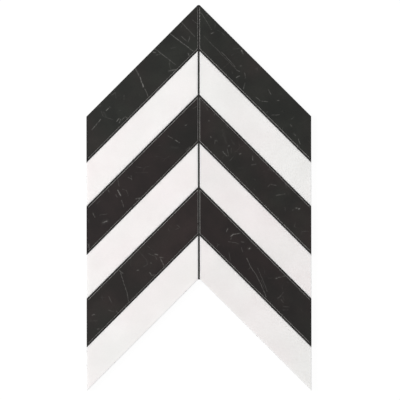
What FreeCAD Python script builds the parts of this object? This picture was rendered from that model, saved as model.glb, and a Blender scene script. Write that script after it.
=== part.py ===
import FreeCAD, Part
import Sketcher
import math
import os

# Chevron wall tile: twelve mitred marble strips in two mirrored legs, black and white by turns,
# with a dark filler cast in the joints and a net of glass yarn glued across the back.
# Frame: +X across the sheet, +Y up to its point, +Z out of the polished face.
# The origin is the middle of the sheet's outline, on the underside of the net.

# Driving dimensions, in millimetres, and one angle in degrees.
SIZES = {
    "strip_width": 31.0,  # square across a strip
    "strip_reach": 112.0,  # level distance from the middle joint to the sheet's side
    "strip_slope": 45.0,  # angle by which a strip falls away from the middle joint
    "strip_thickness": 10.0,
    "arris": 0.5,  # bevel round the polished face
    "joint_width": 1.8,
    "filler_recess": 0.6,  # depth of the filler's edges below the polished face
    "filler_hollow": 0.3,  # how much deeper the filler's face is in the middle of a joint
    "net_pitch": 5.0,  # from yarn to yarn, both ways
    "net_inset": 3.0,  # the net is cut this far inside the sheet's outline
    "yarn_width": 0.9,
    "yarn_thickness": 0.25,
}

# Stone of each course of strips, from the point down.
COURSES = ("black", "white", "black", "white", "black", "white")

# Each leg falls away to one side of the middle joint.
LEGS = {"left": -1, "right": 1}

# Sizes that follow from the driving ones.
SLOPE = "(Sizes.strip_slope * 1 deg)"
STRIP_FALL = f"(Sizes.strip_reach * tan({SLOPE}))"
STRIP_SIDE = f"(Sizes.strip_width / cos({SLOPE}))"
JOINT_SIDE = f"(Sizes.joint_width / cos({SLOPE}))"
COURSE_PITCH = f"({STRIP_SIDE} + {JOINT_SIDE})"
MIDDLE_JOINT = f"({len(COURSES)} * {COURSE_PITCH} - {JOINT_SIDE})"
HALF_HEIGHT = f"(({MIDDLE_JOINT} + {STRIP_FALL}) / 2)"
NET_THICKNESS = "(2 * Sizes.yarn_thickness)"
FILLER_DEPTH = "(Sizes.strip_thickness - Sizes.filler_recess)"

# The net's outline: the sheet's, moved in on every side.
NET_REACH = "(Sizes.joint_width / 2 + Sizes.strip_reach - Sizes.net_inset)"
NET_FALL = f"({NET_REACH} * tan({SLOPE}))"
NET_INSET_SIDE = f"(Sizes.net_inset / cos({SLOPE}))"
NET_DEPTH = f"({MIDDLE_JOINT} - 2 * {NET_INSET_SIDE})"
NET_POINT = f"({HALF_HEIGHT} + Sizes.joint_width / 2 * tan({SLOPE}) - {NET_INSET_SIDE})"
NET_HEIGHT = f"({NET_DEPTH} + {NET_FALL})"

# Yarns on each side of the middle one, and cross yarns from just under the point to just over the tips.
WARP_EACH_SIDE = f"floor(({NET_REACH} - Sizes.yarn_width / 2) / Sizes.net_pitch)"
WEFT_COUNT = f"floor({NET_HEIGHT} / Sizes.net_pitch - 0.5)"


def add_sizes(doc):
    """The driving dimensions, one row each, named by alias."""
    sheet = doc.addObject("Spreadsheet::Sheet", "Sizes")
    for row, (alias, value) in enumerate(SIZES.items(), start=1):
        sheet.set(f"A{row}", alias)
        sheet.set(f"B{row}", str(value))
        sheet.setAlias(f"B{row}", alias)
    doc.recompute()


def origin_feature(body, role):
    """The body's own origin plane or axis of that role."""
    return next(item for item in body.Origin.OriginFeatures if item.Role == role)


def bind(item, **expressions):
    """Ties each property of the item to an expression; two underscores stand for a dot."""
    for name, expression in expressions.items():
        item.setExpression(name.replace("__", "."), expression)


def add_body(doc, label, **placement):
    body = doc.addObject("PartDesign::Body", label)
    body.Label = label
    body.AllowCompound = True
    bind(body, **{f"Placement__Base__{axis}": value for axis, value in placement.items()})
    return body


def add_sketch(body, name, plane="XY_Plane", **offset):
    """An empty sketch on one of the body's own planes, moved within it by the offset."""
    sketch = body.newObject("Sketcher::SketchObject", name)
    sketch.AttachmentSupport = [(origin_feature(body, plane), "")]
    sketch.MapMode = "FlatFace"
    bind(sketch, **{f"AttachmentOffset__Base__{axis}": value for axis, value in offset.items()})
    return sketch


def add_loop(sketch, points):
    """Straight edges through the points and back to the first; returns the first edge's number."""
    first = sketch.GeometryCount
    count = len(points)
    for index, point in enumerate(points):
        start = FreeCAD.Vector(*point)
        end = FreeCAD.Vector(*points[(index + 1) % count])
        sketch.addGeometry(Part.LineSegment(start, end))
    for index in range(count):
        constrain(sketch, "Coincident", first + index, 2, first + (index + 1) % count, 1)
    return first


def constrain(sketch, kind, *where, name="", expression=""):
    """Adds a constraint, and names and binds it where it is a size."""
    number = sketch.addConstraint(Sketcher.Constraint(kind, *where))
    if name:
        sketch.renameConstraint(number, name)
        sketch.setExpression(f"Constraints.{name}", expression)


def draw_leg(sketch, side, inner_edge):
    """A slanting band: it starts at the sketch's origin with an upright inner edge and falls to one side."""
    first = add_loop(sketch, [(0, 0), (0, 10), (side * 30, -20), (side * 30, -30)])
    inner, upper, outer, lower = range(first, first + 4)
    constrain(sketch, "Coincident", inner, 1, -1, 1)
    constrain(sketch, "Vertical", inner)
    constrain(sketch, "Vertical", outer)
    constrain(sketch, "Parallel", upper, lower)
    constrain(sketch, "DistanceY", inner, 1, inner, 2, 10, name="inner_edge", expression=inner_edge)
    constrain(sketch, "DistanceY", lower, 1, lower, 2, 30, name="fall", expression=STRIP_FALL)
    ends = (lower, 2, lower, 1) if side > 0 else (lower, 1, lower, 2)
    constrain(sketch, "DistanceX", *ends, 30, name="reach", expression="Sizes.strip_reach")


def draw_bar(sketch, width, height):
    """An upright rectangle, centred on the sketch's vertical axis, hanging from its origin."""
    first = add_loop(sketch, [(-5, 0), (5, 0), (5, -50), (-5, -50)])
    top, right, bottom, left = range(first, first + 4)
    constrain(sketch, "Horizontal", top)
    constrain(sketch, "Vertical", right)
    constrain(sketch, "Vertical", left)
    constrain(sketch, "Horizontal", bottom)
    constrain(sketch, "Symmetric", top, 1, top, 2, -1, 1)
    constrain(sketch, "DistanceX", top, 1, top, 2, 10, name="width", expression=width)
    constrain(sketch, "DistanceY", right, 2, right, 1, 50, name="height", expression=height)


def draw_hollow(sketch, width):
    """The section of a hollow joint face: a chord at the filler's edges, with a shallow arc below it."""
    radius = f"(({width}) ^ 2 / 4 + Sizes.filler_hollow ^ 2) / (2 * Sizes.filler_hollow)"
    chord = sketch.addGeometry(Part.LineSegment(FreeCAD.Vector(-1, 9), FreeCAD.Vector(1, 9)))
    circle = Part.Circle(FreeCAD.Vector(0, 10), FreeCAD.Vector(0, 0, 1), math.sqrt(2))
    arc = sketch.addGeometry(Part.ArcOfCircle(circle, math.radians(225), math.radians(315)))
    constrain(sketch, "Coincident", chord, 1, arc, 1)
    constrain(sketch, "Coincident", chord, 2, arc, 2)
    constrain(sketch, "Symmetric", chord, 1, chord, 2, -2)
    constrain(sketch, "DistanceX", chord, 1, chord, 2, 2, name="width", expression=width)
    constrain(sketch, "DistanceY", -1, 1, chord, 1, 9, name="edge", expression=FILLER_DEPTH)
    constrain(sketch, "Radius", arc, math.sqrt(2), name="radius", expression=radius)


def draw_net_outline(sketch):
    """The chevron that the net is cut to, hanging by its point from the sketch's origin."""
    points = [(0, 0), (40, -40), (40, -90), (0, -50), (-40, -90), (-40, -40)]
    first = add_loop(sketch, points)
    right_top, right_side, right_notch, left_notch, left_side, left_top = range(first, first + 6)
    constrain(sketch, "Coincident", right_top, 1, -1, 1)
    constrain(sketch, "PointOnObject", right_notch, 2, -2)
    constrain(sketch, "Symmetric", right_top, 2, left_top, 1, -2)
    constrain(sketch, "Symmetric", right_side, 2, left_side, 1, -2)
    constrain(sketch, "Vertical", right_side)
    constrain(sketch, "Parallel", right_top, right_notch)
    constrain(sketch, "DistanceX", right_top, 1, right_top, 2, 40, name="reach", expression=NET_REACH)
    constrain(sketch, "DistanceY", right_top, 2, right_top, 1, 40, name="fall", expression=NET_FALL)
    constrain(sketch, "DistanceY", left_notch, 1, right_top, 1, 50, name="depth", expression=NET_DEPTH)


def draw_waste_border(sketch):
    """A rectangle that holds every yarn before the net is cut."""
    first = add_loop(sketch, [(-60, 20), (60, 20), (60, -120), (-60, -120)])
    top, right, bottom, left = range(first, first + 4)
    constrain(sketch, "Vertical", right)
    constrain(sketch, "Vertical", left)
    constrain(sketch, "Horizontal", top)
    constrain(sketch, "Symmetric", bottom, 2, bottom, 1, -2)
    half_width = f"{NET_REACH} + Sizes.net_pitch"
    drop = f"{NET_HEIGHT} + Sizes.net_pitch"
    constrain(sketch, "DistanceX", -1, 1, right, 1, 60, name="half_width", expression=half_width)
    constrain(sketch, "DistanceY", -1, 1, right, 1, 20, name="over", expression="Sizes.net_pitch")
    constrain(sketch, "DistanceY", right, 2, -1, 1, 120, name="drop", expression=drop)


def add_pad(body, name, sketch, length):
    pad = body.newObject("PartDesign::Pad", name)
    pad.Profile = sketch
    bind(pad, Length=length)
    return pad


def bevel_polished_face(body, slab):
    """The arris: an even bevel round the slab's upper face."""
    body.Document.recompute()
    faces = slab.Shape.Faces
    upper = max(range(len(faces)), key=lambda number: faces[number].CenterOfMass.z)
    bevel = body.newObject("PartDesign::Chamfer", "Arris")
    bevel.Base = (slab, [f"Face{upper + 1}"])
    bind(bevel, Size="Sizes.arris")
    body.Tip = bevel


def add_strip(doc, leg, course, stone):
    """One strip of stone; courses count from the point down."""
    side = LEGS[leg]
    body = add_body(
        doc,
        f"{leg}_strip_{course + 1}_{stone}",
        x=f"{side} * Sizes.joint_width / 2",
        y=f"{HALF_HEIGHT} - {course} * {COURSE_PITCH} - {STRIP_SIDE}",
        z=NET_THICKNESS,
    )
    face = add_sketch(body, "Face")
    draw_leg(face, side, STRIP_SIDE)
    slab = add_pad(body, "Slab", face, "Sizes.strip_thickness")
    bevel_polished_face(body, slab)
    return body


def add_hollow(body, name, section, length):
    """Cuts the section out of the body, over a length counted square to the section's plane."""
    hollow = body.newObject("PartDesign::Pocket", name)
    hollow.Profile = section
    bind(hollow, Length=length)
    return hollow


def add_joint_filler(doc):
    """The filler, cast in one piece: the middle joint, and the slanting joints that branch from it.
    Its face is wiped hollow along every joint, and the hollows run together where the joints meet."""
    body = add_body(doc, "joint_filler", y=HALF_HEIGHT, z=NET_THICKNESS)

    middle = add_sketch(body, "MiddleJoint")
    draw_bar(middle, "Sizes.joint_width", MIDDLE_JOINT)
    add_pad(body, "Middle", middle, FILLER_DEPTH)
    middle_section = add_sketch(body, "MiddleSection", plane="XZ_Plane")
    draw_hollow(middle_section, "Sizes.joint_width")
    middle_hollow = add_hollow(body, "MiddleHollow", middle_section, MIDDLE_JOINT)
    middle_hollow.Reversed = True

    slanting = add_sketch(body, "SlantingJoint", x="Sizes.joint_width / 2", y=f"-{COURSE_PITCH}")
    draw_leg(slanting, LEGS["right"], JOINT_SIDE)
    branch = add_pad(body, "Branch", slanting, FILLER_DEPTH)
    branch_centre = f"{JOINT_SIDE} / 2 - {COURSE_PITCH} + Sizes.joint_width / 2 * tan({SLOPE})"
    branch_section = add_sketch(body, "BranchSection", plane="YZ_Plane", x=branch_centre)
    draw_hollow(branch_section, JOINT_SIDE)
    branch_reach = "Sizes.joint_width / 2 + Sizes.strip_reach"
    branch_hollow = add_hollow(body, "BranchHollow", branch_section, branch_reach)
    branch_hollow.UseCustomVector = True
    bind(branch_hollow, Direction__x="1", Direction__y=f"-tan({SLOPE})", Direction__z="0")
    doc.recompute()

    down = doc.addObject("PartDesign::LinearPattern", "DownTheSheet")
    down.Direction = (origin_feature(body, "Y_Axis"), [""])
    down.Reversed = True
    down.Mode = "Spacing"
    down.Occurrences = len(COURSES) - 1
    bind(down, Offset=COURSE_PITCH)
    across = doc.addObject("PartDesign::Mirrored", "AcrossTheSheet")
    across.MirrorPlane = (origin_feature(body, "YZ_Plane"), [""])

    branches = body.newObject("PartDesign::MultiTransform", "Branches")
    branches.Originals = [branch, branch_hollow]
    branches.Transformations = [down, across]
    body.Tip = branches
    return body


def add_yarn_row(body, yarn, axis, count):
    """Copies of one yarn along an axis of the body, a pitch apart."""
    row = body.newObject("PartDesign::LinearPattern", "Yarns")
    row.Originals = [yarn]
    row.Direction = (origin_feature(body, axis), [""])
    row.Reversed = axis == "Y_Axis"
    row.Mode = "Spacing"
    bind(row, Offset="Sizes.net_pitch", Occurrences=count)
    body.Tip = row


def cut_to_outline(body):
    """Cuts away the yarn that stands outside the net's outline."""
    body.Document.recompute()
    waste = add_sketch(body, "Waste")
    draw_waste_border(waste)
    draw_net_outline(waste)
    cut = body.newObject("PartDesign::Pocket", "CutToOutline")
    cut.Profile = waste
    cut.Type = "ThroughAll"
    cut.Reversed = True
    body.Tip = cut


def add_warp(doc):
    """The net's outer layer: yarns that run up the sheet."""
    body = add_body(doc, "backing_net_warp", y=NET_POINT)
    line = add_sketch(body, "Yarn", x=f"-{WARP_EACH_SIDE} * Sizes.net_pitch")
    draw_bar(line, "Sizes.yarn_width", NET_HEIGHT)
    yarn = add_pad(body, "FirstYarn", line, "Sizes.yarn_thickness")
    add_yarn_row(body, yarn, "X_Axis", f"2 * {WARP_EACH_SIDE} + 1")
    cut_to_outline(body)
    return body


def add_weft(doc):
    """The net's inner layer: yarns across the sheet, against the backs of the strips."""
    body = add_body(doc, "backing_net_weft", y=NET_POINT, z="Sizes.yarn_thickness")
    line = add_sketch(body, "Yarn", y="-Sizes.net_pitch + Sizes.yarn_width / 2")
    draw_bar(line, f"2 * {NET_REACH}", "Sizes.yarn_width")
    yarn = add_pad(body, "FirstYarn", line, "Sizes.yarn_thickness")
    add_yarn_row(body, yarn, "Y_Axis", WEFT_COUNT)
    cut_to_outline(body)
    return body


def check(doc, bodies):
    """Stops if a feature failed, a sketch is loose or a body has no sound solid."""
    for item in doc.Objects:
        if "Invalid" in item.State or "Error" in item.State:
            raise RuntimeError(f"{item.Label} failed: {item.State}")
        if item.TypeId == "Sketcher::SketchObject" and not item.FullyConstrained:
            raise RuntimeError(f"{item.Label} is not fully constrained")
    for body in bodies:
        if body.Shape.isNull() or not body.Shape.isValid() or not body.Shape.Solids:
            raise RuntimeError(f"{body.Label} has no sound solid")


def export(bodies):
    os.makedirs("parts", exist_ok=True)
    for body in bodies:
        body.Shape.exportStep(f"parts/{body.Label}.step")
        solids = len(body.Shape.Solids)
        print(f"{body.Label}: {solids} solid(s), {body.Shape.Volume:.1f} mm3")


def main():
    doc = FreeCAD.newDocument("ChevronWallTile")
    add_sizes(doc)
    bodies = [add_strip(doc, leg, course, stone) for leg in LEGS for course, stone in enumerate(COURSES)]
    bodies.append(add_joint_filler(doc))
    bodies.append(add_warp(doc))
    bodies.append(add_weft(doc))
    doc.recompute()
    check(doc, bodies)
    export(bodies)


main()
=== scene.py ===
# %% [markdown]
# Chevron wall tile, dressed
#
# The object is a mosaic sheet: twelve mitred strips of honed marble, black and white by turns, that meet on
# a middle joint as a stack of arrow points. A dark cement filler lies in the joints, and a net of glass yarn
# is glued across the back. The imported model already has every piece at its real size. This lesson gives the
# pieces their finish, weaves the net, and sets up the light, the floor and the camera.
# The frame is the model's own, in metres: +X across the sheet, +Y up to its point, +Z out of its face.

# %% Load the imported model
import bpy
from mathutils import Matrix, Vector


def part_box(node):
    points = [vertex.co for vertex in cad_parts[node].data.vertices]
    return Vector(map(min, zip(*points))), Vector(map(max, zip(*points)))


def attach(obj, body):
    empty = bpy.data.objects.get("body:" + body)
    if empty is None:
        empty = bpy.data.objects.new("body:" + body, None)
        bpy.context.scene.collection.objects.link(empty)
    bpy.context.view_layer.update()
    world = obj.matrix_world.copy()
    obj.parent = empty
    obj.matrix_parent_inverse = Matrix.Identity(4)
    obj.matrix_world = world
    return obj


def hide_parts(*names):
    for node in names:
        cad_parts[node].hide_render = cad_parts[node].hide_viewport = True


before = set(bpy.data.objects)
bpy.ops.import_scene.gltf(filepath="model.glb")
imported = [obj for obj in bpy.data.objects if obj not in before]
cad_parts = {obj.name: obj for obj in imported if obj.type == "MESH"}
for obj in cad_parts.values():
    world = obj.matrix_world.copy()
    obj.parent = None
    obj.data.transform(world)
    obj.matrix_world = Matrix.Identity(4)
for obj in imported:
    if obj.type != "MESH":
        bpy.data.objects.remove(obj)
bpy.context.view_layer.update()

# %% Import what the lesson needs
import math

import bpy
import numpy as np
from mathutils import Vector

print("Blender", bpy.app.version_string)

# %% [markdown]
# The sheet's own measures
#
# A finish that follows the edges has to know where they are. Typed in again, they would be left behind by
# the next change in the model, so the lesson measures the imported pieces. All sizes are in millimetres where
# nothing else is said, and a rate is so much for each millimetre.

# %% Measure the strips and the joints
MM = 0.001  # one millimetre in the scene's metres
COURSES = ("black", "white", "black", "white", "black", "white")  # from the point down
LEGS = {"left": -1, "right": 1}

first_low, first_high = (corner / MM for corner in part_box("right_strip_1_black"))
second_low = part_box("right_strip_2_white")[0] / MM
filler_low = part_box("joint_filler")[0] / MM

joint_half = first_low.x
sheet_side = first_high.x
sheet_point = first_high.y
face_height = first_high.z
course_pitch = first_low.y - second_low.y
joints_down = len(COURSES) - 1
# The filler is lowest at the outer end of its last slanting joint
strip_fall = sheet_point - joints_down * course_pitch - filler_low.y
strip_side = first_high.y - first_low.y - strip_fall
fall_rate = strip_fall / (sheet_side - joint_half)  # how far a strip falls for each millimetre outwards
square_share = 1 / math.hypot(1, fall_rate)  # turns an upright distance into one square to the strip
print(f"strip {strip_side * square_share:.2f} mm wide, pitch {course_pitch:.2f} mm, fall {fall_rate:.3f}")

# %% Measure the net
warp_low, warp_high = (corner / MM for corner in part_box("backing_net_warp"))
weft_low, weft_high = (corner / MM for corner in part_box("backing_net_weft"))
warp_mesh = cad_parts["backing_net_warp"].data
warp_corners = np.empty(len(warp_mesh.vertices) * 3, np.float32)
warp_mesh.vertices.foreach_get("co", warp_corners)
warp_edges = np.unique(np.round(warp_corners[::3] / MM, 2))  # where each warp bar begins and ends across

yarn_width = float(warp_edges[1] - warp_edges[0])
net_pitch = float(warp_edges[2] - warp_edges[0])
net_reach = weft_high.x
net_point = warp_high.y
net_depth = net_point - warp_high.x * fall_rate - warp_low.y
net_middle = weft_low.z  # the height at which the two layers meet
print(f"yarns {yarn_width:.2f} mm wide, {net_pitch:.2f} mm apart, net {net_depth:.1f} mm deep")

# %% [markdown]
# The camera
#
# The photograph looks straight at the face: both legs have the same length and the sheet's sides stand
# parallel. So the camera hangs over the sheet and looks straight down, with a long lens from 1.6 m away.
# Its place and its slight turn come from lining up the strips' edges with the photograph.

# %% A helper that adds an object
def add_object(name, data):
    """A new object in the scene, at its origin."""
    item = bpy.data.objects.new(name, data)
    bpy.context.scene.collection.objects.link(item)
    return item


print("helper: add_object")

# %% Hang the camera over the sheet
CAMERA_PLACE = (1.1 * MM, -2.05 * MM, 1612.5 * MM)
CAMERA_TURN = math.radians(-0.075)
SENSOR_WIDTH = 36
LENS = 143.6

camera = add_object("camera", bpy.data.cameras.new("camera"))
camera.data.sensor_width = SENSOR_WIDTH
camera.data.lens = LENS
camera.location = CAMERA_PLACE
camera.rotation_euler = (0, 0, CAMERA_TURN)
bpy.context.scene.camera = camera
bpy.context.scene.view_settings.view_transform = "Standard"
print("camera", round(camera.location.z, 3), "m up, lens", LENS, "mm")

# %% [markdown]
# Nodes by function
#
# Every finish below is a small program of nodes. Nodes can be placed by hand or by one line of code each.
# Short helper functions keep those lines readable: one puts a node, others make the sums that come up most.
# A socket takes either a plain value or another node's output, and the helpers accept both.

# %% Helpers that put nodes
NOISE_SPAN = (0.3, 0.7)  # noise runs from 0 to 1, but nearly all of it lies between these


def plug(tree, socket, value):
    """Links another node's output to the socket, or writes a plain value into it."""
    if isinstance(value, bpy.types.NodeSocket):
        tree.links.new(value, socket)
    else:
        socket.default_value = value


def put(tree, kind, inputs=(), **settings):
    """Puts one shader node; inputs pairs a socket's name or number with its value."""
    node = tree.nodes.new("ShaderNode" + kind)
    for name, value in settings.items():
        setattr(node, name, value)
    for key, value in dict(inputs).items():
        plug(tree, node.inputs[key], value)
    return node


def calc(tree, operation, *values):
    """One sum on numbers."""
    return put(tree, "Math", enumerate(values), operation=operation).outputs[0]


def product(tree, first, *others):
    """Numbers multiplied with one another."""
    for other in others:
        first = calc(tree, "MULTIPLY", first, other)
    return first


def vector_calc(tree, operation, *values):
    """One sum on vectors that gives a vector."""
    return put(tree, "VectorMath", enumerate(values), operation=operation).outputs[0]


def vector_size(tree, operation, *values):
    """One sum on vectors that gives a number, such as a length or a dot product."""
    return put(tree, "VectorMath", enumerate(values), operation=operation).outputs[1]


def scaled(tree, vector, share):
    """A vector or a colour, times a number."""
    return put(tree, "VectorMath", {0: vector, "Scale": share}, operation="SCALE").outputs[0]


def fade(tree, value, start, end):
    """Rises smoothly from 0 where the value is at start to 1 where it is at end."""
    inputs = {"Value": value, "From Min": start, "From Max": end}
    return put(tree, "MapRange", inputs, interpolation_type="SMOOTHSTEP").outputs[0]


def between(tree, share, low, high):
    """A number that goes from low to high with the share."""
    return put(tree, "MapRange", {"Value": share, "To Min": low, "To Max": high}).outputs[0]


def tint(tree, share, first, second):
    """A colour that goes from the first to the second with the share. A Mix node takes its two colours
    at inputs 6 and 7, and gives the mixed one at output 2."""
    node = put(tree, "Mix", {0: share}, data_type="RGBA")
    for number, colour in ((6, first), (7, second)):
        plug(tree, node.inputs[number], colour if isinstance(colour, bpy.types.NodeSocket) else (*colour, 1))
    return node.outputs[2]


def noise(tree, position, rate, detail):
    """Cloudy noise: the rate is its number of clouds for each unit of the position."""
    return put(tree, "TexNoise", {"Vector": position, "Scale": rate, "Detail": detail}).outputs[0]


def full_noise(tree, position, rate, detail):
    """The same noise, stretched until it fills 0 to 1."""
    return fade(tree, noise(tree, position, rate, detail), *NOISE_SPAN)


print("helpers that put nodes, from plug to full_noise")

# %% Helpers that build and use shader groups
ORIGIN = (0.0, 0.0, 0.0)  # the default of a socket for a vector


def open_group(name, inputs, outputs):
    """A new shader group: inputs maps names to defaults, outputs lists the names of numbers."""
    group = bpy.data.node_groups.new(name, "ShaderNodeTree")
    for key, default in inputs.items():
        kind = "NodeSocketVector" if isinstance(default, tuple) else "NodeSocketFloat"
        socket = group.interface.new_socket(name=key, in_out="INPUT", socket_type=kind)
        socket.default_value = default
    for key in outputs:
        group.interface.new_socket(name=key, in_out="OUTPUT", socket_type="NodeSocketFloat")
    given = group.nodes.new("NodeGroupInput").outputs
    wanted = group.nodes.new("NodeGroupOutput").inputs
    return group, given, wanted


def use(tree, group, **inputs):
    """Places a group in a material; an underscore in a name stands for a space."""
    node = put(tree, "Group", node_tree=group)
    for key, value in inputs.items():
        plug(tree, node.inputs[key.replace("_", " ")], value)
    return node.outputs


print("helpers: open_group, use")

# %% [markdown]
# Which face is it?
#
# One strip has four kinds of surface: the honed face, the narrow bevel round it (the arris), the sawn sides
# and the sawn back. Each could be its own material slot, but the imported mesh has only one. A face's normal
# tells them apart just as well: up is the honed face, down is the back, level is a side, and what lies
# between is the arris. The honed face needs no mask of its own, because the finish starts from it.

# %% Group: kinds of face
FACE_FROM = (0.86, 0.94)  # how steeply a normal rises where the arris ends and the honed face begins
ARRIS_FROM = (0.3, 0.5)  # how steeply it rises where a side ends and the arris begins

face_kinds, given, wanted = open_group("Kinds of face", {"Normal": ORIGIN}, ("Arris", "Sawn", "Back"))
tree = face_kinds
rise = put(tree, "SeparateXYZ", {0: given["Normal"]}).outputs[2]
honed = fade(tree, rise, *FACE_FROM)
upward = fade(tree, rise, *ARRIS_FROM)
plug(tree, wanted["Arris"], calc(tree, "SUBTRACT", upward, honed))
plug(tree, wanted["Sawn"], calc(tree, "SUBTRACT", 1.0, upward))
plug(tree, wanted["Back"], fade(tree, rise, -FACE_FROM[0], -FACE_FROM[1]))
print(tree.name, "has", len(tree.nodes), "nodes")

# %% [markdown]
# Where on the sheet?
#
# The painted highlight on the arris lies only where there is a joint, so the finish has to know how far a
# point lies from the free outline. The strips fall away at one rate on both sides, so adding back that fall
# turns the stack of arrow points into level bands. In that level measure a distance to the outline is a plain
# subtraction, taken square to the strip. The group also tells how far out towards the side a point lies, from
# 0 to 1.

# %% Group: place on the sheet
sheet_place, given, wanted = open_group(
    "Place on the sheet", {"Position": ORIGIN}, ("Level", "Outwards", "To outline")
)
tree = sheet_place
parts = put(tree, "SeparateXYZ", {0: given["Position"]}).outputs
outwards = calc(tree, "ABSOLUTE", parts[0])
level_top = sheet_point + joint_half * fall_rate
fallen = calc(tree, "MULTIPLY_ADD", outwards, fall_rate, parts[1])
level = calc(tree, "SUBTRACT", level_top, fallen)
stack_height = joints_down * course_pitch + strip_side
above_foot = calc(tree, "SUBTRACT", stack_height, level)
nearest_end = calc(tree, "MINIMUM", level, above_foot)
nearest_end = product(tree, nearest_end, square_share)
from_side = calc(tree, "SUBTRACT", sheet_side, outwards)
plug(tree, wanted["Level"], level)
plug(tree, wanted["Outwards"], calc(tree, "DIVIDE", outwards, sheet_side))
plug(tree, wanted["To outline"], calc(tree, "MINIMUM", nearest_end, from_side))
print(tree.name, "has", len(tree.nodes), "nodes")

# %% [markdown]
# One vein
#
# A vein in black marble is a crack that white calcite filled, so on the cut face it is a thin pale line.
# A picture of veins could be painted, but a line is also a formula: the distance from a point to the nearest
# point of a stretch between two ends. The vein is palest where that distance is nothing, and it ends where
# the distance is half its width. Some of the calcite has seeped into the stone beside the crack, so a faint
# haze lies three times as wide round it. The strips' long veins are chains of such stretches.

# %% Group: a stretch of vein
HAZE = 0.07  # how strong the haze is beside the vein itself
HAZE_REACH = 3.0  # how many times as wide as the vein it is

vein_stretch, given, wanted = open_group(
    "Stretch of vein",
    {"Position": ORIGIN, "Start": ORIGIN, "End": (1.0, 0.0, 0.0), "Width": 1.0},
    ("Mask",),
)
tree = vein_stretch
way = vector_calc(tree, "SUBTRACT", given["End"], given["Start"])
gone = vector_calc(tree, "SUBTRACT", given["Position"], given["Start"])
along = vector_size(tree, "DOT_PRODUCT", gone, way)
whole = vector_size(tree, "DOT_PRODUCT", way, way)
share = put(tree, "Clamp", {0: calc(tree, "DIVIDE", along, whole)}).outputs[0]
nearest = scaled(tree, way, share)
away = vector_size(tree, "LENGTH", vector_calc(tree, "SUBTRACT", gone, nearest))
half = product(tree, given["Width"], 0.5)
crack = fade(tree, away, half, 0.0)
haze = product(tree, fade(tree, away, product(tree, half, HAZE_REACH), half), HAZE)
plug(tree, wanted["Mask"], calc(tree, "MAXIMUM", crack, haze))
print(tree.name, "has", len(tree.nodes), "nodes")

# %% [markdown]
# The fine network
#
# Between its long veins, marble carries a much fainter network of hairlines. The borders of Voronoi cells
# look like cracks that meet, so a thin band along those borders makes the network. A slow noise opens and
# closes it, because a real network comes and goes.

# %% Group: hairline network
PATCH_RATE = 1.3  # patches of open network for each of its cells
PATCH_BORDER = 0.18  # the step in the noise over which a patch opens

hairline_network, given, wanted = open_group(
    "Hairline network",
    {"Position": ORIGIN, "Cell": 20.0, "Width": 0.4, "Cover": 0.5},
    ("Mask",),
)
tree = hairline_network
cell_rate = calc(tree, "DIVIDE", 1.0, given["Cell"])
inputs = {"Vector": given["Position"], "Scale": cell_rate}
border = put(tree, "TexVoronoi", inputs, feature="DISTANCE_TO_EDGE").outputs["Distance"]
line = fade(tree, product(tree, border, given["Cell"]), given["Width"], 0.0)
patches = noise(tree, given["Position"], product(tree, cell_rate, PATCH_RATE), detail=3.0)
closed = calc(tree, "SUBTRACT", 1.0, given["Cover"])
opened = calc(tree, "ADD", closed, PATCH_BORDER)
open_patches = fade(tree, patches, closed, opened)
plug(tree, wanted["Mask"], product(tree, line, open_patches))
print(tree.name, "has", len(tree.nodes), "nodes")

# %% [markdown]
# Clouds and crystals
#
# No stone has one colour. Marble drifts slowly between a darker and a paler tone, and between a cooler and a
# warmer one. Close up it is a mosaic of crystals, each a little lighter or darker and ground a little higher
# or lower than the next. Slow noise gives the drift in tone, and a slower one the drift in warmth, which the
# Warmth input moves as a whole. Small Voronoi cells give the crystals, one random value for each cell.

# %% Group: clouds and crystals
WARMTH_RATE = 0.4  # drifts in warmth for each cloud
WARMTH_STEP = 0.25  # how far the noise goes either way from the coolest to the warmest

stone_body, given, wanted = open_group(
    "Clouds and crystals",
    {"Position": ORIGIN, "Cloud": 30.0, "Warmth": 0.5, "Crystal": 0.8},
    ("Cloud", "Hue", "Crystal"),
)
tree = stone_body
cloud_rate = calc(tree, "DIVIDE", 1.0, given["Cloud"])
plug(tree, wanted["Cloud"], full_noise(tree, given["Position"], cloud_rate, detail=4.0))
warm_drift = noise(tree, given["Position"], product(tree, cloud_rate, WARMTH_RATE), detail=2.0)
warmer = calc(tree, "ADD", warm_drift, calc(tree, "SUBTRACT", given["Warmth"], 1.0))
plug(tree, wanted["Hue"], fade(tree, warmer, -WARMTH_STEP, WARMTH_STEP))
crystal_rate = calc(tree, "DIVIDE", 1.0, given["Crystal"])
cells = put(tree, "TexVoronoi", {"Vector": given["Position"], "Scale": crystal_rate}, feature="F1")
plug(tree, wanted["Crystal"], put(tree, "SeparateColor", {0: cells.outputs["Color"]}).outputs[0])
print(tree.name, "has", len(tree.nodes), "nodes")

# %% [markdown]
# Saw marks
#
# The sides and the back keep the blade's fine parallel scratches. They are noise that is stretched out along
# the cut: it changes slowly along the strip, and quickly down the side and across the back.

# %% Group: saw marks
ALONG_RATE = 0.03  # how far the noise moves on for each millimetre along the cut

saw_marks, given, wanted = open_group(
    "Saw marks", {"Position": ORIGIN, "Level": 0.0, "Spacing": 0.8}, ("Lines",)
)
tree = saw_marks
parts = put(tree, "SeparateXYZ", {0: given["Position"]}).outputs
slow = product(tree, parts[0], ALONG_RATE)
across_cut = calc(tree, "DIVIDE", given["Level"], given["Spacing"])
down_cut = calc(tree, "DIVIDE", parts[2], given["Spacing"])
stretched = put(tree, "CombineXYZ", {0: slow, 1: across_cut, 2: down_cut}).outputs[0]
plug(tree, wanted["Lines"], full_noise(tree, stretched, 1.0, detail=3.0))
print(tree.name, "has", len(tree.nodes), "nodes")

# %% [markdown]
# The film of glue
#
# The glue that holds the net was rolled on over it. It creeps along every yarn, and between the yarns it
# stands in puddles with sharp borders. Noise alone would give puddles anywhere, so here it is lifted close
# to a yarn, and the puddles hang on the net as the real ones do.

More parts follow.
